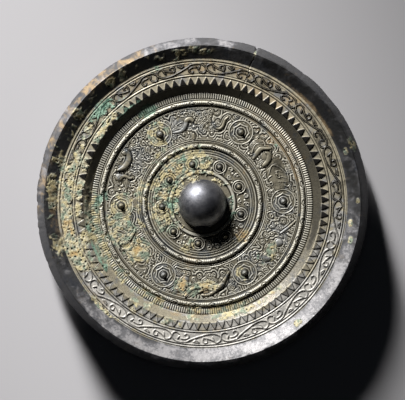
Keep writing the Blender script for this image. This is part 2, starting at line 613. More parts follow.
# Patina, as patches: angle, radius, half their angle, half their depth and strength
CREAM = (
    (112, 25, 34, 10, 1.4), (150, 25, 36, 10, 1.4), (192, 24, 26, 9, 1.3), (215, 22, 16, 6, 1.0),
    (60, 18, 40, 3, 0.55), (166, 82, 9, 4, 0.8), (182, 84, 12, 5, 0.9), (200, 84, 10, 5, 1.35),
    (150, 83, 8, 4, 0.6), (186, 76.5, 26, 3, 0.75), (140, 77, 14, 3, 0.6), (121.5, 50, 8, 8, 1.0),
    (182, 50, 10, 8, 0.95), (196, 52, 12, 9, 0.95), (216, 49, 9, 8, 1.1), (256, 51, 5, 6, 0.9),
    (271, 51, 11, 3, 0.9), (263, 57, 5, 3, 0.7), (300, 50, 6, 6, 0.75), (326, 51.5, 6, 3.5, 1.0),
    (321, 55, 3, 2, 0.6), (250, 27, 12, 5, 0.7), (320, 31, 9, 5, 0.6), (255, 66, 24, 4, 0.6),
    (281, 67.2, 18, 3.6, 1.0), (190, 67, 18, 4, 0.65), (225, 66, 20, 4, 0.5), (125, 66, 6, 3, 0.6),
    (225, 89, 14, 1.6, 0.8), (70.7, 97, 0.5, 6, 0.75), (20, 94, 1.4, 1.6, 1.1),
    (1, 96, 1.3, 1.3, 1.0), (100, 94, 13, 3, 0.42), (124, 92.5, 12, 4, 0.52),
    (142, 93, 9, 4, 0.58), (158, 93, 9, 4, 0.58), (178, 93, 12, 4, 0.62), (197, 93, 8, 4, 0.52),
    (345.9, 93.8, 1.4, 1.4, 1.1), (352.2, 92, 1.3, 1.3, 1.0), (308.6, 94, 1.5, 1.6, 1.1),
    (186, 71.5, 14, 2.2, 1.0), (200, 67.5, 15, 4, 1.25), (182, 66, 6, 4, 1.1),
    (186, 49, 7, 6, 1.1), (285, 70.5, 26, 2, 0.75), (22, 99.6, 3, 2.4, 0.9),
    (170, 88, 14, 2.4, 0.6), (246, 75, 16, 5, 0.45), (165, 39.5, 46, 2.6, 0.6),
    (100, 91, 3, 3, 0.5),
)
OCHRE = (
    (190, 84, 5, 4, 0.7), (200, 84, 5, 4, 0.7), (170, 85, 6, 4, 0.5), (84, 84, 44, 5, 0.62),
    (48, 84, 8, 5, 0.7), (60, 76.5, 26, 4, 0.6), (45, 57, 16, 5, 0.6), (42, 66, 22, 4, 0.75),
    (218, 49, 8, 7, 0.9), (256, 52, 5, 7, 0.9), (272, 52, 10, 4, 0.7), (128, 26, 16, 5, 0.6),
    (165, 25, 14, 5, 0.45), (104, 19, 20, 4, 0.5), (322, 31, 8, 5, 0.9), (258, 36, 8, 4, 0.9),
    (262, 67, 20, 4, 0.7), (40, 90.4, 14, 1.2, 0.95), (126, 99.6, 20, 5, 0.62),
    (162, 99.6, 24, 5, 0.5), (32, 61, 22, 3, 0.9), (228, 86, 12, 4, 0.5), (170, 44, 8, 3, 0.5),
    (255, 46, 5, 3, 0.6), (205, 50, 5, 6, 0.6), (300, 71, 22, 2.4, 0.6), (40, 35, 24, 3, 0.45),
    (182, 92, 14, 4, 0.4), (286, 78, 20, 4, 0.3),
)
GREEN = (
    (137, 85.5, 6, 3.6, 1.45), (121, 66.6, 5.5, 3.8, 1.6), (178, 64, 4, 3, 1.3),
    (192, 71.5, 3, 2, 0.8), (213, 71, 2.5, 2, 0.8), (150, 21, 26, 4, 0.65), (186, 20, 22, 5, 0.75),
    (2, 18.2, 16, 2, 1.0), (108, 88, 3, 3, 0.6), (132, 80, 8, 3, 0.6), (120, 58, 5, 2, 0.5),
    (206, 28, 10, 4, 0.5), (112, 30, 7, 3, 0.6), (38, 57, 2, 2, 0.6), (196, 45, 8, 4, 0.4),
    (252, 56, 6, 3, 0.4), (317, 51, 6, 5, 0.4), (338, 20, 10, 3, 0.8), (176, 60, 4, 3, 0.6),
    (330, 33, 4, 3, 0.5), (206, 72.2, 14, 1.0, 0.9), (128, 73, 8, 3, 0.7), (120, 45, 8, 3, 0.3),
    (98, 22, 6, 5, 0.4),
)
BARE = (
    (280, 84, 78, 6, 1.1), (288, 94, 82, 5, 1.1), (280, 76.5, 70, 3, 0.8), (240, 66.5, 74, 3, 0.8),
    (350, 36, 60, 5, 0.4), (200, 36, 60, 5, 0.4), (241, 50, 8, 7, 0.8), (161, 53.5, 5, 3, 0.6),
    (100, 99.8, 12, 4, 0.8), (130, 99.8, 8, 4, 0.45), (148, 99.8, 7, 4, 0.5),
    (175, 99.8, 14, 4, 0.5), (135, 67, 22, 3, 0.8), (332, 52, 6, 4, 0.5), (85, 99.8, 12, 4, 0.6),
    (350, 50, 26, 10, 0.55), (150, 85, 5, 3, 0.4), (305, 50, 20, 10, 0.6), (151, 50, 16, 9, 0.5),
    (112, 50, 24, 10, 0.5), (245, 50, 18, 9, 0.55),
)
SOIL = (
    (25, 84, 40, 6, 0.5), (80, 84, 40, 6, 0.5), (20, 76, 70, 5, 0.4), (320, 50, 30, 9, 0.3),
    (330, 76, 30, 5, 0.4), (300, 24, 30, 8, 0.5), (5, 50, 34, 12, 0.45), (28, 53, 5, 5, 0.8),
    (205, 93, 30, 5, 0.5), (112, 71.0, 56, 2.6, 2.6), (35, 71.0, 50, 2.8, 2.6),
    (30, 94, 44, 5, 0.9),
)


def patches(table, zone):
    """How strongly these patches of patina cover each grid point, before noise breaks them up."""
    amount = np.zeros(zone.x.shape)
    for turn, radius, half_turn, half_depth, strength in table:
        across = np.abs((zone.turn - turn + 180) % 360 - 180) / half_turn
        out = np.abs(zone.radius - radius) / half_depth
        amount = np.maximum(amount, strength * np.clip(1.45 - np.hypot(across, out), 0, 1))
    return amount


def broken_up(zone, table, size, seed, swing, low, high):
    """A mask of these patches, their edges broken up by clouds of this size."""
    noise = clouds(zone.x, zone.y, size, seed) - 0.5
    return ramp(patches(table, zone) + swing * noise, low, high)


def lay_patina(zone, crust_height=0.45, dark_tops=False):
    """Fills the zone's masks, and lets the crust thicken, pit and soften its relief."""
    x, y = zone.x, zone.y
    cream = broken_up(zone, CREAM, size=5.0, seed=11, swing=1.5, low=0.38, high=0.74)
    cream *= ramp(patches(CREAM, zone), 0.02, 0.3)
    ochre = broken_up(zone, OCHRE, size=4.0, seed=21, swing=1.1, low=0.30, high=0.95)
    green = broken_up(zone, GREEN, size=2.6, seed=31, swing=1.3, low=0.45, high=1.0)
    green *= ramp(patches(GREEN, zone), 0.02, 0.2)
    bare = broken_up(zone, BARE, size=6.0, seed=41, swing=0.9, low=0.30, high=0.90)
    soil = broken_up(zone, SOIL, size=6.0, seed=51, swing=0.9, low=0.30, high=0.90)
    crust = np.maximum(cream, 0.8 * green)
    pits = ramp(pitted(x, y, 2.6, 1.05, 61), 0.20, 0.70) * ramp(crust, 0.3, 0.7)
    pits *= ramp(grain(x, y, 6.0, 62), 0.30, 0.60)
    lumps = 0.25 + 0.75 * clouds(x, y, 1.5, 71)
    if dark_tops:
        relief = zone.inked - 1.2 * zone.blackened * (1 - 0.8 * crust)
    else:
        relief = np.clip(zone.stands_out(0.9) / 0.16, -1.0, 0.72 - 0.55 * zone.bodies)
        relief -= 0.85 * zone.blackened
    zone.height *= 1 - 0.78 * crust * (1 - zone.blackened)
    zone.height += crust * crust_height * lumps - 0.55 * pits
    zone.height += 0.07 * (grain(x, y, 1.1, 81) - 0.5)
    clean = 1 - 0.9 * zone.blackened
    zone.masks = {
        "relief": relief,
        "cream": cream * clean,
        "ochre": ochre,
        "green": green * clean,
        "bare": bare,
        "soil": np.maximum(soil, 1.4 * pits),
    }


def cut_crack(zone):
    """The hairline crack that runs in from the outline."""
    path = smooth_path([at(*point) for point in CRACK])
    places, x, y = zone.near(path, 0.5)
    halves = np.linspace(0.36, 0.16, len(path))
    closest = zone.closeness(path, halves, x, y)
    zone.height[places] -= 0.7 * np.clip(1 - closest, 0, 1)


def grown(mask, corners=True):
    """The mask grown by a grid place round the mirror and across, and to the corners if asked."""
    wide = np.maximum(mask, np.maximum(np.roll(mask, 1, axis=0), np.roll(mask, -1, axis=0)))
    across = np.pad(wide if corners else mask, ((0, 0), (1, 1)), mode="edge")
    return np.maximum(wide, np.maximum(across[:, 2:], across[:, :-2]))


def ripples(figures, step, spacing, bend):
    """Lines that follow the figures' outlines, further and further out, from 0 to 1."""
    covered = figures
    away = np.zeros(figures.shape)
    for count in range(24):
        away += 1 - covered
        covered = grown(covered, count % 2 == 0)
    for again in range(2):
        away = (away + np.roll(away, 1, axis=0) + np.roll(away, -1, axis=0)) / 3
        wide = np.pad(away, ((0, 0), (1, 1)), mode="edge")
        away = (wide[:, 2:] + wide[:, 1:-1] + wide[:, :-2]) / 3
    return np.clip(0.5 - 1.1 * np.cos(2 * np.pi * (away * step / spacing + bend)), 0, 1)


def upper_half(zone):
    """1 over the upper part of the mirror, 0 over the lower, where dark relief is worn paler."""
    return ramp(np.abs((zone.turn - 265 + 180) % 360 - 180), 60, 115)


def carve_scroll_band(zone):
    """Two thin lines, then the cloud scroll: seventeen units of linked threads."""
    for radius, height in SCROLL_LINES:
        zone.circle_line(radius, LINE_WIDTH, height)
    zone.groove(SCROLL_GROOVE, 0.7, 0.25)
    for start, end in zip(SCROLL_STARTS[:-1], SCROLL_STARTS[1:]):
        stretch = (end - start) / UNIT_LENGTH
        for thread in SCROLL_THREADS:
            points = [
                (start + turn * stretch, SCROLL_FOOT + SCROLL_SQUEEZE * (radius - DRAWN_FOOT))
                for turn, radius in thread
            ]
            zone.stroke(points, THREAD_WIDTH, THREAD_HEIGHT, ends=0.65)
    threads = np.where(zone.radius < THREADS_END, zone.height, 0.0)
    outlined = 1.25 * grown(ramp(threads, 0.03, 0.2)) - 0.95 * ramp(threads, 0.47, 0.55)
    plain = 0.5 * ramp(threads, 0.04, 0.26)
    zone.inked = plain + (np.clip(outlined, 0, 1) - plain) * upper_half(zone)


def carve_sawtooth_band(zone):
    """A thin line and 96 raised triangles that point outward, on top of the step."""
    zone.circle_line(TEETH_LINE, LINE_WIDTH, 0.36)
    pitch = 360.0 / TOOTH_COUNT
    tilt = 0.25 * (grain(zone.x, zone.y, 9.0, 5) - 0.5)
    phase = (zone.turn / pitch + tilt) % 1.0
    half = 0.47 * np.clip((TOOTH_TIP - zone.radius) / (TOOTH_TIP - TOOTH_FOOT), 0, 1) ** 0.75
    inside = (half - np.abs(phase - 0.5)) * math.radians(pitch) * zone.radius
    above_step = ramp(zone.radius, TOOTH_FOOT - 0.4, TOOTH_FOOT + 0.2)
    rise = TOOTH_HEIGHT * np.clip(inside / 0.35, 0, 1) * above_step
    zone.height = np.maximum(zone.height, rise)
    dark = ramp(rise, 0.05, 0.4)
    edge = ramp(inside, -0.1, 0.05) * (1 - ramp(inside, 0.25, 0.6)) * (rise > 0)
    worn = np.maximum(0.42 * dark, edge)
    zone.inked = worn + (dark - worn) * upper_half(zone)
    worn_step = 0.42 + 0.14 * ramp(np.cos(np.radians(zone.turn - 312)), 0.6, 1.0)
    zone.inked = np.maximum(zone.inked, worn_step * (zone.radius < STEP_TOP - 0.2))
    for radius in TEETH_GROOVES:
        zone.groove(radius, LINE_WIDTH, 0.2)


def carve_comb(zone):
    """Three hundred fine radial ribs, a thin line on each side of the outer ridge, and the ridge."""
    phase = np.cos(np.radians(zone.turn * RIB_COUNT))
    within = ramp(zone.radius, RIBS_INNER - 0.3, RIBS_INNER)
    within = within * (1 - ramp(zone.radius, RIBS_OUTER, RIBS_OUTER + 0.4))
    zone.height = np.maximum(zone.height, RIB_HEIGHT * np.clip(0.5 + 1.2 * phase, 0, 1) * within)
    for radius, width, height in COMB_LINES:
        zone.circle_line(radius, width, height)
    carve_ridge(zone, OUTER_RIDGE, periods=34, first=3.0)


def carve_ridge(zone, middle, periods, first):
    """A half-round ridge with cut ornament: a few short strokes, then a small oval, and again."""
    zone.half_round(middle)
    pitch = 360.0 / periods
    for period in range(periods):
        start = first + pitch * period
        for stroke in range(5):
            turn = start + pitch * (0.04 + 0.10 * stroke)
            points = ((turn, middle - 1.1), (turn + 0.3, middle + 1.1))
            zone.stroke(points, 0.36, -0.22, over=True, ends=0.8)
        oval = start + pitch * 0.74
        reach = pitch * 0.16
        points = [
            (oval - reach, middle + 0.2), (oval - reach * 0.4, middle - 0.7),
            (oval + reach * 0.6, middle - 0.5), (oval + reach, middle + 0.2),
            (oval + reach * 0.2, middle + 0.8), (oval - reach * 0.5, middle + 0.3),
        ]
        zone.stroke(points, 0.55, -0.6, over=True, ends=0.9)


def carve_large_nipple(zone, turn):
    """Round seat, seven strokes and seven linked arcs round a nipple."""
    middle = at(turn, LARGE_CIRCLE)
    zone.seat(middle, LARGE_SEAT, 0.18)
    zone.round_line(middle, LARGE_SEAT - 0.55, 0.85, 0.34)
    arcs = []
    for step in range(85):
        angle = 360.0 * step / 84
        share = abs(((angle - FIRST_ARC) % ARC_PITCH) / ARC_PITCH - 0.5) * 2
        arcs.append(beside(middle, angle, ARC_CIRCLE + 0.75 * share**3))
    places, x, y = zone.near([middle], LARGE_SEAT - 1.5)
    closest = zone.closeness(arcs, [0.42] * len(arcs), x, y)
    zone.raised(places, 0.32 * rounded(closest), True)
    for cell in range(ARC_COUNT):
        angle = FIRST_ARC + ARC_PITCH * (cell + 0.5)
        points = []
        for away, bend in ((5.4, -9), (6.0, 0), (6.1, 9)):
            x, y = beside(middle, angle + bend, away)
            points.append((math.degrees(math.atan2(y, x)), math.hypot(x, y)))
        # One stroke, under the crust on the left, crosses 180 degrees and is left out
        if abs(points[0][0] - points[-1][0]) < 180:
            zone.stroke(points, 0.5, 0.25, over=True)
    zone.round_line(middle, LARGE_CONE + 0.45, LINE_WIDTH, 0.3)
    zone.cone(middle, LARGE_CONE, LARGE_CONE_HEIGHT)


def spiral_ground(x, y, spacing, reach, seed):
    """Closely set spiral lines, each round its own middle, from 0 between them to 1 on top."""
    table = np.random.RandomState(seed).rand(200, 200, 4)
    x = x + 2.6 * (grain(x, y, 4.2, seed + 1) - 0.5)
    y = y + 2.6 * (grain(x, y, 4.2, seed + 2) - 0.5)
    column = ((x + OUTLINE) / reach).astype(int)
    row = ((y + OUTLINE) / reach).astype(int)
    nearest = np.full(x.shape, 99.0)
    phase = np.zeros(x.shape)
    for across in (-1, 0, 1):
        for up in (-1, 0, 1):
            cell = table[column + across + 1, row + up + 1]
            aside = x + OUTLINE - (column + across + 0.15 + 0.7 * cell[..., 0]) * reach
            ahead = y + OUTLINE - (row + up + 0.15 + 0.7 * cell[..., 1]) * reach
            away = np.hypot(aside, ahead)
            wound = np.arctan2(ahead, aside) / (2 * np.pi) * np.where(cell[..., 2] > 0.5, 1, -1)
            phase = np.where(away < nearest, away / spacing + wound + cell[..., 3], phase)
            nearest = np.minimum(nearest, away)
    return rounded((phase % 1.0 - 0.5) / 0.30)


def carve_beasts(zone):
    """The main zone: six beasts among curls, between six large nipples."""
    for height, points in BODIES:
        points = [(turn, radius, 1.25 * width) for turn, radius, width in points]
        zone.body(points, 0.9 * height**1.4)
    for turn, radius, size, height in DOMES:
        zone.dome(turn, radius, 1.1 * size, 0.85 * height)
    zone.bodies = ramp(zone.height, 0.15, 0.5)
    for width, height, lines in BEAST_LINES:
        for points in lines:
            zone.stroke(points, width, height, over=True)
    for turn, radius, size, start, sweep in CURLS:
        zone.curl(turn, radius, size, start, sweep, width=0.62, height=0.42, over=True)
    for turn, radius, size, height in BEADS:
        zone.dome(turn, radius, size, height, over=True)
    figures = (zone.height > 0.03).astype(float)
    step = 1.08 * zone.radii.mean() * math.radians(zone.pitch)
    bend = 0.5 * grain(zone.x, zone.y, 4.0, 9)
    spirals = ramp(grain(zone.x, zone.y, 5.0, 8), 0.55, 0.75)
    ground = ripples(figures, step, 1.35, bend) * (1 - spirals)
    ground += spiral_ground(zone.x, zone.y, 1.6, 4.6, 7) * spirals
    zone.height += ground * np.where(grown(figures) > 0, 0.08, 0.34)
    for depth, points in HOLLOWS:
        zone.body(points, -depth, over=True, power=0.8)
    zone.circle_line(*BEASTS_LINE)
    for place in range(6):
        carve_large_nipple(zone, FIRST_LARGE + 60.0 * place)


def carve_inner_ridge(zone):
    """The inner ridge between three thin circles on each side."""
    for radius, width, height in RIDGE_LINES:
        zone.circle_line(radius, width, height)
    carve_ridge(zone, INNER_RIDGE, periods=19, first=6.5)


def carve_nipple_zone(zone):
    """The inner zone: nine small nipples with curls between them, round the foot of the boss."""
    starts = [FIRST_SMALL + 360.0 / SMALL_COUNT * place for place in range(SMALL_COUNT)]
    for start in starts:
        for points in INNER_LINES:
            turned = [(start + turn, radius) for turn, radius in points]
            zone.stroke(turned, 0.65, 0.42, ends=0.6)
        for turn, radius, size, first, sweep, width, height in INNER_CURLS:
            zone.curl(start + turn, radius, size, first, sweep, width, height)
        for turn, radius, size, height in INNER_BEADS:
            zone.dome(start + turn, radius, size, height)
        for mark in range(3):
            turn = start + 17.6 + 2.4 * mark
            zone.stroke(((turn, 21.7), (turn, 22.9)), 0.4, 0.25)
    zone.circle_line(*NIPPLES_LINE)
    ring = 0.6 * ramp(zone.radius, 18.7, 19.1) * (1 - ramp(zone.radius, 20.4, 20.9))
    zone.height = np.maximum(zone.height, ring)
    for start in starts:
        middle = at(start, SMALL_CIRCLE)
        zone.seat(middle, SMALL_SEAT, 0.15)
        zone.round_line(middle, SMALL_SEAT - 0.35, 0.7, 0.4)
        zone.round_line(middle, SMALL_CONE + 0.7, 0.5, 0.3)
        zone.cone(middle, SMALL_CONE, SMALL_CONE_HEIGHT)


def turned_piece(name, section, steps, closed=True):
    """Draws a section at +X, as a ring of points or an open line, and turns it once round Z."""
    bpy.ops.mesh.primitive_circle_add(
        vertices=len(section), radius=1.0, fill_type="NOTHING", location=(0, 0, 0)
    )
    piece = bpy.context.object
    piece.name = name
    piece.data.name = name
    for vertex, (radius, height) in zip(piece.data.vertices, section):
        vertex.co = (radius * MM, 0.0, height * MM)
    if not closed:
        for vertex in piece.data.vertices:
            vertex.select = False
        for edge in piece.data.edges:
            edge.select = set(edge.vertices) == {0, len(section) - 1}
        bpy.ops.object.mode_set(mode="EDIT")
        bpy.ops.mesh.select_mode(type="EDGE")
        bpy.ops.mesh.delete(type="EDGE_FACE")
        bpy.ops.mesh.select_mode(type="VERT")
        bpy.ops.object.mode_set(mode="OBJECT")
    turning = piece.modifiers.new("Turning", "SCREW")
    turning.steps = steps
    turning.render_steps = steps
    turning.use_merge_vertices = True
    turning.merge_threshold = WELD
    bpy.ops.object.modifier_apply(modifier="Turning")
    bpy.ops.object.mode_set(mode="EDIT")
    bpy.ops.mesh.select_all(action="SELECT")
    bpy.ops.mesh.remove_doubles(threshold=WELD)
    bpy.ops.mesh.normals_make_consistent(inside=False)
    bpy.ops.object.mode_set(mode="OBJECT")
    return piece


def mesh_points(piece):
    """The places of the piece's points, in metres."""
    places = np.empty(3 * len(piece.data.vertices))
    piece.data.vertices.foreach_get("co", places)
    return places.reshape(-1, 3)


def move_points(piece, places):
    """Moves the piece's points to these places."""
    piece.data.vertices.foreach_set("co", places.ravel())
    piece.data.update()


def grid_places(piece, section, steps):
    """For each vertex, its column round the mirror and its row in the section."""
    places = mesh_points(piece) / MM
    radius = np.hypot(places[:, 0], places[:, 1])
    turn = np.degrees(np.arctan2(places[:, 1], places[:, 0])) % 360
    column = np.rint(turn * steps / 360.0).astype(int) % steps
    section = np.array(section)
    away = (radius[:, None] - section[:, 0]) ** 2 + (places[:, 2][:, None] - section[:, 1]) ** 2
    return column, np.argmin(away, axis=1)


def finish_piece(piece, material):
    """Soft normals but for sharp corners, its material, and its place in the frame."""
    bpy.ops.object.select_all(action="DESELECT")
    piece.select_set(True)
    bpy.context.view_layer.objects.active = piece
    bpy.ops.object.shade_smooth_by_angle(angle=math.radians(70))
    piece.data.materials.clear()
    piece.data.materials.append(material)
    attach(piece, "root")
    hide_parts("bronze_mirror")
    return piece


def set_masks(piece, masks):
    """Stores each mask as an attribute of the piece's points, for its material to read."""
    for name, values in masks.items():
        layer = piece.data.attributes.new(name, "FLOAT", "POINT")
        layer.data.foreach_set("value", np.ascontiguousarray(values, dtype=np.float32))


def build_zone(zone, material):
    """Spins the zone's section and moves its top points to their carved heights."""
    heights = back(zone.radii)
    section = list(zip(zone.radii, heights))
    section.append((zone.radii[-1], heights[-1] - SUNK))
    section.append((zone.radii[0], heights[0] - SUNK))
    piece = turned_piece(zone.name, section, zone.steps)
    column, row = grid_places(piece, section, zone.steps)
    top = row < len(zone.radii)
    row = np.minimum(row, len(zone.radii) - 1)
    places = mesh_points(piece)
    rise = np.maximum(zone.height[column, row], -0.8 * SUNK)
    places[top, 2] += rise[top] * MM
    move_points(piece, places)
    set_masks(piece, {name: mask[column, row] * top for name, mask in zone.masks.items()})
    return finish_piece(piece, material)


def carved_piece(zone, carve, material, cracked=False, **patina):
    """One turned piece: its relief, its patina, the crack where it reaches, and its mesh."""
    carve(zone)
    lay_patina(zone, **patina)
    if cracked:
        cut_crack(zone)
    return build_zone(zone, material)


# The rim, with the plain disc under the zones
RIM_STEPS = 1440
LIP_EDGE = 0.3
HIDDEN_DEPTH = 0.75

# Worn places of the outline: middle, half their length in degrees, and depth
OUTLINE_FLATS = ((40, 5, 0.4), (54, 6, 0.5), (81, 5, 0.5), (168, 7, 0.4), (182, 6, 0.4))
OUTLINE_CHIPS = (
    (97, 1.2, 0.2), (143, 1.0, 0.3), (165, 0.9, 0.4), (171, 0.8, 0.4), (176, 1.0, 0.3),
    (180, 1.0, 0.5), (186, 0.7, 0.3), (189, 0.9, 0.4), (201, 1.1, 0.3), (212, 1.6, 0.3),
    (236, 1.2, 0.4), (70.7, 0.5, 1.2), (33, 1.0, 0.2), (16, 1.1, 0.2), (52, 0.8, 0.3),
)


def worn_depth(turn):
    """How far the outline has worn in at each angle."""
    lost = np.zeros(turn.shape)
    for middle, half, depth in OUTLINE_FLATS + OUTLINE_CHIPS:
        away = np.abs((turn - middle + 180) % 360 - 180) / half
        lost += depth * np.where(away < 1, np.cos(np.pi / 2 * np.minimum(away, 1)), 0)
    return lost


def build_rim(material):
    """The underside, lip, outer slope, crest and inner slope, worn and chipped, and plain inside."""
    slope = np.linspace(OUTLINE, CREST + 0.7, 12)
    crest = CREST + np.array([0.45, 0.2, 0.0, -0.3])
    inner = np.linspace(CREST - CREST_HALF, RIM_FOOT, 23)
    zone = Zone("rim", np.concatenate([slope, crest, inner]), RIM_STEPS)
    lay_patina(zone)
    zone.masks["relief"] = np.zeros(zone.x.shape)
    cut_crack(zone)
    near_crest = 1 - ramp(np.abs(zone.radius - CREST), 0.2, 1.6)
    ragged = ramp(grain(zone.x, zone.y, 2.6, 91), 0.55, 0.95)
    zone.height -= near_crest * (0.22 * ragged + 0.25 * worn_depth(zone.turn))

    hidden = (0.0, 12.0, FLAT_SPOT, STEP_FOOT, STEP_TOP, RIM_FOOT - 0.6)
    section = [(radius, float(back(radius)) - HIDDEN_DEPTH) for radius in hidden]
    first = len(section)
    section += [(radius, float(back(radius))) for radius in zone.radii[::-1]]
    section.append((OUTLINE, float(lift(OUTLINE)) + LIP_EDGE))
    under = (OUTLINE - LIP_EDGE, 84.0, 66.0, 48.0, FLAT_SPOT, 0.0)
    section += [(radius, float(lift(radius))) for radius in under]

    piece = turned_piece("rim", section, RIM_STEPS, closed=False)
    column, row = grid_places(piece, section, RIM_STEPS)
    carved = (row >= first) & (row < first + len(zone.radii))
    row = np.clip(len(zone.radii) - 1 - (row - first), 0, len(zone.radii) - 1)
    places = mesh_points(piece)
    places[carved, 2] += zone.height[column, row][carved] * MM
    radius = np.hypot(places[:, 0], places[:, 1]) / MM
    share = np.clip((radius - CREST) / (OUTLINE - CREST), 0, 1)
    drawn_in = 1 - share * worn_depth(column * 360.0 / RIM_STEPS) / np.maximum(radius, 1)
    places[:, :2] *= drawn_in[:, None]
    move_points(piece, places)
    set_masks(piece, {name: mask[column, row] * carved for name, mask in zone.masks.items()})
    return finish_piece(piece, material)


def build_boss(material):
    """The oval boss with its cord tunnel, crusted round its foot."""
    floor = float(back(0.0))
    bpy.ops.mesh.primitive_uv_sphere_add(segments=180, ring_count=90, radius=1.0)
    boss = bpy.context.object
    boss.name = "boss"
    boss.data.name = "boss"
    boss.scale = (BOSS_RADIUS * MM, BOSS_RADIUS * MM, (TOP - floor) * MM)
    boss.location = (0, 0, floor * MM)
    bpy.ops.object.transform_apply(location=True, rotation=False, scale=True)
    bpy.ops.object.mode_set(mode="EDIT")
    bpy.ops.mesh.select_all(action="SELECT")
    bpy.ops.mesh.bisect(
        plane_co=(0, 0, (floor - 0.5) * MM), plane_no=(0, 0, 1), use_fill=True, clear_inner=True
    )
    bpy.ops.object.mode_set(mode="OBJECT")
    half = TUNNEL_WIDTH / 2
    bpy.ops.mesh.primitive_cylinder_add(
        vertices=48,
        radius=half * MM,
        depth=4 * BOSS_RADIUS * MM,
        location=(0, 0, (TUNNEL_FLOOR + TUNNEL_HEIGHT - half) * MM),
        rotation=(math.pi / 2, 0, 0),
    )
    bore = bpy.context.object
    bpy.ops.object.transform_apply(location=True, rotation=True, scale=True)
    for vertex in bore.data.vertices:
        vertex.co.z = max(vertex.co.z, TUNNEL_FLOOR * MM)
    cut = boss.modifiers.new("Tunnel", "BOOLEAN")
    cut.operation = "DIFFERENCE"
    cut.object = bore
    cut.solver = "EXACT"
    bpy.context.view_layer.objects.active = boss
    bpy.ops.object.modifier_apply(modifier="Tunnel")
    bpy.data.objects.remove(bore, do_unlink=True)
    places = mesh_points(boss) / MM
    turn = np.degrees(np.arctan2(places[:, 1], places[:, 0])) % 360
    skin = Surface(turn, np.hypot(places[:, 0], places[:, 1]))
    lay_patina(skin, dark_tops=True)
    foot = ramp(skin.radius, 12.0, 14.4)
    set_masks(boss, {name: skin.masks[name] * foot for name in ("cream", "green")})
    return finish_piece(boss, material)


class Value:
    """A number or colour inside a material, that sums can be written with."""

    def __init__(self, tree, socket):
        self.tree = tree
        self.socket = socket

    def worked_out(self, operation, first, second):
        """A Math node on two values, either of which may be a plain number."""
        node = self.tree.nodes.new("ShaderNodeMath")
        node.operation = operation
        put(self.tree, node.inputs[0], first)
        put(self.tree, node.inputs[1], second)
        return Value(self.tree, node.outputs[0])

    def __add__(self, other):
        return self.worked_out("ADD", self, other)

    def __sub__(self, other):
        return self.worked_out("SUBTRACT", self, other)

    def __mul__(self, other):
        return self.worked_out("MULTIPLY", self, other)

    def most(self, other):
        """The larger of the two."""
        return self.worked_out("MAXIMUM", self, other)


def put(tree, place, value):
    """Links a Value to a socket, or sets a plain number or colour on it."""
    if isinstance(value, Value):
        tree.links.new(value.socket, place)
    else:
        place.default_value = value


def tone(red, green, blue):
    """A colour given as it shows on a screen, from 0 to 255."""
    shares = [part / 255 for part in (red, green, blue)]
    linear = [part / 12.92 if part <= 0.04045 else ((part + 0.055) / 1.055) ** 2.4 for part in shares]
    return (*linear, 1.0)


class Finish:
    """A material under construction."""

    def __init__(self, name):
        self.material = bpy.data.materials.new(name)
        self.material.use_nodes = True
        self.tree = self.material.node_tree
        self.shader = self.tree.nodes["Principled BSDF"]
        self.place = self.node("ShaderNodeTexCoord", {}, {}, "Object")

    def node(self, kind, settings, inputs, output):
        """A node of this type with its settings and sockets, and the named output as a Value."""
        made = self.tree.nodes.new(kind)
        for name, value in settings.items():
            setattr(made, name, value)
        for name, value in inputs.items():
            put(self.tree, made.inputs[name], value)
        return Value(self.tree, made.outputs[output])

    def noise(self, scale, detail=3.0, roughness=0.6):
        """Noise over the piece, with this many lumps to the metre."""
        inputs = {"Vector": self.place, "Scale": scale, "Detail": detail, "Roughness": roughness}
        return self.node("ShaderNodeTexNoise", {}, inputs, "Fac")

    def mask(self, name):
        """One of the masks stored on the piece's points."""
        settings = {"attribute_type": "GEOMETRY", "attribute_name": name}
        return self.node("ShaderNodeAttribute", settings, {}, "Fac")

    def between(self, value, low, high, start=0.0, end=1.0):
        """Start up to the low value, end from the high one, and an even S between."""
        settings = {"interpolation_type": "SMOOTHSTEP", "clamp": True}
        inputs = {"Value": value, "From Min": low, "From Max": high, "To Min": start, "To Max": end}
        return self.node("ShaderNodeMapRange", settings, inputs, "Result")

    def mix(self, first, second, share):
        """The first colour, with this share of the second."""
        inputs = {0: share, 6: first, 7: second}
        return self.node("ShaderNodeMix", {"data_type": "RGBA"}, inputs, 2)

    def set(self, name, value):
        """Sets or links a socket of the shader."""
        put(self.tree, self.shader.inputs[name], value)

    def bump(self, height, strength, distance):
        """Fine roughness of the surface, too small for the mesh, distance in metres."""
        inputs = {"Strength": strength, "Distance": distance, "Height": height}
        self.set("Normal", self.node("ShaderNodeBump", {}, inputs, "Normal"))


BLACK = tone(10, 9, 7)
CREAM_TONE = tone(238, 231, 202)
CREAM_SHADE = tone(168, 163, 144)
OCHRE_TONE = tone(200, 170, 118)
OCHRE_PALE = tone(202, 172, 126)
GREEN_PALE = tone(152, 186, 164)
GREEN_DEEP = tone(66, 106, 90)
GREEN_GREY = tone(122, 146, 126)
YELLOW_TONE = tone(210, 198, 152)
BOSS_LIGHT = tone(138, 139, 146)
BOSS_DARK = tone(96, 98, 106)
BOSS_BROWN = tone(120, 112, 96)
PAPER_TONE = tone(203, 202, 206)


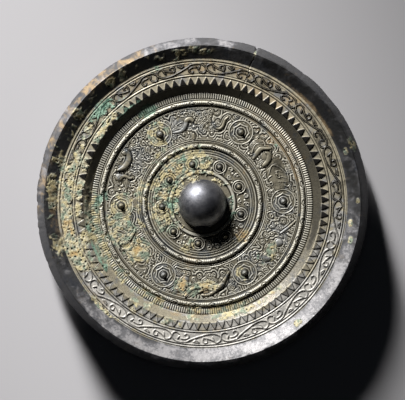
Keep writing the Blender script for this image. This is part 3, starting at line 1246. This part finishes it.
def patina_finish(name, ground, raised, cool, silver, sheen, metal):
    """Old bronze: a ground, darker or lighter relief, bare metal, and crusts laid by the masks."""
    finish = Finish(name)
    fine = finish.noise(2400.0)
    small = finish.noise(760.0, 4.0)
    broad = finish.noise(110.0)
    spots = finish.noise(210.0, 3.0)
    pits = finish.noise(900.0, 1.0)
    relief = finish.mask("relief")
    cream = finish.mask("cream")
    ochre = finish.mask("ochre")
    green = finish.mask("green")
    bare = finish.mask("bare")
    soil = finish.mask("soil")

    base = finish.mix(ground, cool, finish.between(broad + bare * 0.5 - 0.1, 0.42, 0.58))
    base = finish.mix(base, BLACK, finish.between(small, 0.45, 0.75, 0.0, 0.35))
    base = finish.mix(base, OCHRE_PALE, ochre * finish.between(fine, 0.3, 0.65, 0.25, 0.62))
    mottled = finish.between(broad + small * 0.8 - 0.4, 0.36, 0.60, 0.35, 0.95)
    base = finish.mix(base, silver, bare * mottled)
    top = finish.between(relief + (fine - 0.5) * 0.7, 0.25, 0.75)
    base = finish.mix(base, raised, top)
    crust = finish.mix(CREAM_TONE, CREAM_SHADE, finish.between(small, 0.40, 0.60))
    crust = finish.mix(crust, YELLOW_TONE, finish.between(spots, 0.48, 0.58, 0.0, 0.9))
    crust = finish.mix(crust, GREEN_GREY, finish.between(spots, 0.40, 0.51, 0.8, 0.0))
    crust = finish.mix(crust, OCHRE_TONE, ochre * finish.between(broad + spots - 0.5, 0.40, 0.65))
    crust = finish.mix(crust, BLACK, finish.between(pits, 0.62, 0.74, 0.0, 0.8))
    base = finish.mix(base, crust, cream)
    verdigris = finish.mix(GREEN_PALE, GREEN_DEEP, finish.between(spots + small - 0.5, 0.46, 0.62))
    base = finish.mix(base, verdigris, green * 0.9)
    depth = finish.between(relief, -0.9, -0.1, 0.9, 0.0)
    base = finish.mix(base, BLACK, depth.most(soil * 0.75))
    finish.set("Base Color", base)

    covered = cream.most(green)
    rough = finish.between(fine, 0.3, 0.7, sheen - 0.08, sheen + 0.12)
    finish.set("Roughness", rough + covered * 0.3)
    finish.set("Metallic", finish.between(covered, 0.0, 0.8, metal, 0.0))
    finish.bump(fine + small, 0.5, 0.00012)
    return finish.material


def boss_finish():
    """Handled, dark blue-grey metal with fine scratches and a dull sheen."""
    finish = Finish("boss_metal")
    fine = finish.noise(1500.0)
    broad = finish.noise(160.0)
    cream = finish.mask("cream")
    green = finish.mask("green")
    base = finish.mix(BOSS_LIGHT, BOSS_DARK, finish.between(broad, 0.35, 0.7))
    base = finish.mix(base, BOSS_BROWN, finish.between(fine, 0.56, 0.74, 0.0, 0.6))
    base = finish.mix(base, CREAM_SHADE, cream)
    base = finish.mix(base, GREEN_DEEP, green)
    finish.set("Base Color", base)
    finish.set("Roughness", finish.between(fine, 0.3, 0.7, 0.41, 0.57) + cream * 0.3)
    finish.set("Metallic", finish.between(cream.most(green), 0.0, 0.8, 0.9, 0.0))
    finish.bump(fine + broad, 0.35, 0.0001)
    return finish.material


def paper_finish():
    """Pale matt paper."""
    finish = Finish("pale_paper")
    finish.set("Base Color", PAPER_TONE)
    finish.set("Roughness", 0.9)
    finish.set("Specular IOR Level", 0.1)
    return finish.material


def evenly(outer, inner, spacing):
    """Radii from the outer to the inner one, at about this spacing."""
    return np.linspace(outer, inner, int(round((outer - inner) / spacing)) + 1)


def build_mirror():
    """All the pieces, from the rim inward."""
    grey_tan = patina_finish(
        "main_zone_patina",
        ground=tone(144, 138, 120),
        raised=tone(210, 207, 194),
        cool=tone(100, 104, 106),
        silver=tone(190, 189, 184),
        sheen=0.40,
        metal=0.15,
    )
    dark_lines = patina_finish(
        "scroll_patina",
        ground=tone(184, 176, 154),
        raised=tone(30, 28, 27),
        cool=tone(150, 150, 148),
        silver=tone(230, 226, 218),
        sheen=0.40,
        metal=0.1,
    )
    slopes = patina_finish(
        "rim_patina",
        ground=tone(78, 78, 80),
        raised=tone(60, 60, 62),
        cool=tone(68, 70, 76),
        silver=tone(166, 164, 166),
        sheen=0.48,
        metal=0.2,
    )
    scroll_rows = evenly(RIM_FOOT, SCROLL_INNER, 0.25)
    step_rows = evenly(STEP_TOP - 0.25, COMB_OUTER, 0.5)
    teeth_rows = np.append(evenly(SCROLL_INNER, STEP_TOP, 0.26), step_rows)
    comb_rows = np.concatenate([
        evenly(COMB_OUTER, RIBS_OUTER, 0.3),
        evenly(RIBS_OUTER - 0.6, RIBS_INNER + 0.4, 0.6),
        evenly(RIBS_INNER, BEASTS_OUTER, 0.24),
    ])
    beast_rows = evenly(BEASTS_OUTER, BEASTS_INNER, 0.29)
    ridge_rows = evenly(BEASTS_INNER, NIPPLES_OUTER, 0.29)
    nipple_rows = evenly(NIPPLES_OUTER, NIPPLES_INNER, 0.25)

    scrolls = Zone("cloud_scroll_band", scroll_rows, 1700)
    teeth = Zone("sawtooth_band", teeth_rows, 1344)
    comb = Zone("comb_and_outer_ridge", comb_rows, 1500)
    beasts = Zone("beast_zone", beast_rows, 1400)
    ridge = Zone("inner_ridge", ridge_rows, 1100)
    nipples = Zone("nipple_zone", nipple_rows, 720)
    return [
        build_rim(slopes),
        carved_piece(scrolls, carve_scroll_band, dark_lines, cracked=True, dark_tops=True),
        carved_piece(teeth, carve_sawtooth_band, dark_lines, cracked=True, dark_tops=True),
        carved_piece(comb, carve_comb, grey_tan, cracked=True),
        carved_piece(beasts, carve_beasts, grey_tan),
        carved_piece(ridge, carve_inner_ridge, grey_tan),
        carved_piece(nipples, carve_nipple_zone, grey_tan, crust_height=0.9),
        build_boss(boss_finish()),
    ]


# Lamps and the room's own light
LAMP_COLOUR = (1.0, 0.985, 0.96)
ROOM_COLOUR = (0.8, 0.88, 1.0, 1.0)
ROOM_STRENGTH = 0.0065

# The camera's place, its aim, and how wide a view it has at what distance, in metres
CAMERA_PLACE = (-0.016, -0.010, 1.88)
CAMERA_AIM = (0.0001, 0.0022, 0.008)
VIEW_WIDTH = 0.250
VIEW_DISTANCE = 1.873

# The width of its sensor, in millimetres
SENSOR_WIDTH = 36.0


def lay_paper():
    """The pale paper under the mirror."""
    bpy.ops.mesh.primitive_plane_add(size=6.0, location=(0, 0, 0))
    paper = bpy.context.object
    paper.name = "paper"
    paper.data.materials.append(paper_finish())
    return paper


def softbox(name, turn, elevation, away, size, power, aim, receivers, spread=180.0):
    """A lamp at this angle and elevation, in metres and degrees, that lights only some objects."""
    lit = bpy.data.collections.new(name + "_receivers")
    for receiver in receivers:
        lit.objects.link(receiver)
    level = away * math.cos(math.radians(elevation))
    place = (
        level * math.cos(math.radians(turn)),
        level * math.sin(math.radians(turn)),
        away * math.sin(math.radians(elevation)),
    )
    bpy.ops.object.light_add(type="AREA", location=place)
    lamp = bpy.context.object
    lamp.name = name
    lamp.rotation_euler = (lamp.location - Vector(aim)).to_track_quat("Z", "Y").to_euler()
    lamp.data.shape = "RECTANGLE"
    lamp.data.size, lamp.data.size_y = size
    lamp.data.energy = power
    lamp.data.spread = math.radians(spread)
    lamp.data.color = LAMP_COLOUR
    lamp.light_linking.receiver_collection = lit


def light_scene(pieces, paper):
    """A softbox at the upper left for the mirror, a lower one for its shadow, hardly any fill."""
    softbox(
        "softbox", turn=120, elevation=24.5, away=0.9, size=(0.24, 0.24), power=17.5,
        aim=(0.0, 0.0, 0.0), receivers=pieces,
    )
    softbox(
        "low_softbox", turn=111, elevation=7.8, away=2.3, size=(0.46, 0.40), power=5.2,
        aim=(-0.090, 0.0, 0.0), receivers=[paper], spread=16.6,
    )
    world = bpy.data.worlds.new("dim_room")
    world.use_nodes = True
    background = world.node_tree.nodes["Background"]
    background.inputs["Color"].default_value = ROOM_COLOUR
    background.inputs["Strength"].default_value = ROOM_STRENGTH
    bpy.context.scene.world = world


def place_camera():
    """A long lens nearly overhead, with no roll."""
    bpy.ops.object.camera_add(location=CAMERA_PLACE)
    camera = bpy.context.object
    aim = (Vector(CAMERA_AIM) - camera.location).normalized()
    camera.rotation_euler = (math.asin(aim.y), math.atan2(-aim.x, -aim.z), 0.0)
    camera.data.sensor_width = SENSOR_WIDTH
    camera.data.lens = SENSOR_WIDTH * VIEW_DISTANCE / VIEW_WIDTH
    bpy.context.scene.camera = camera
    bpy.context.scene.view_settings.view_transform = "Standard"


mirror = build_mirror()
light_scene(mirror, lay_paper())
place_camera()
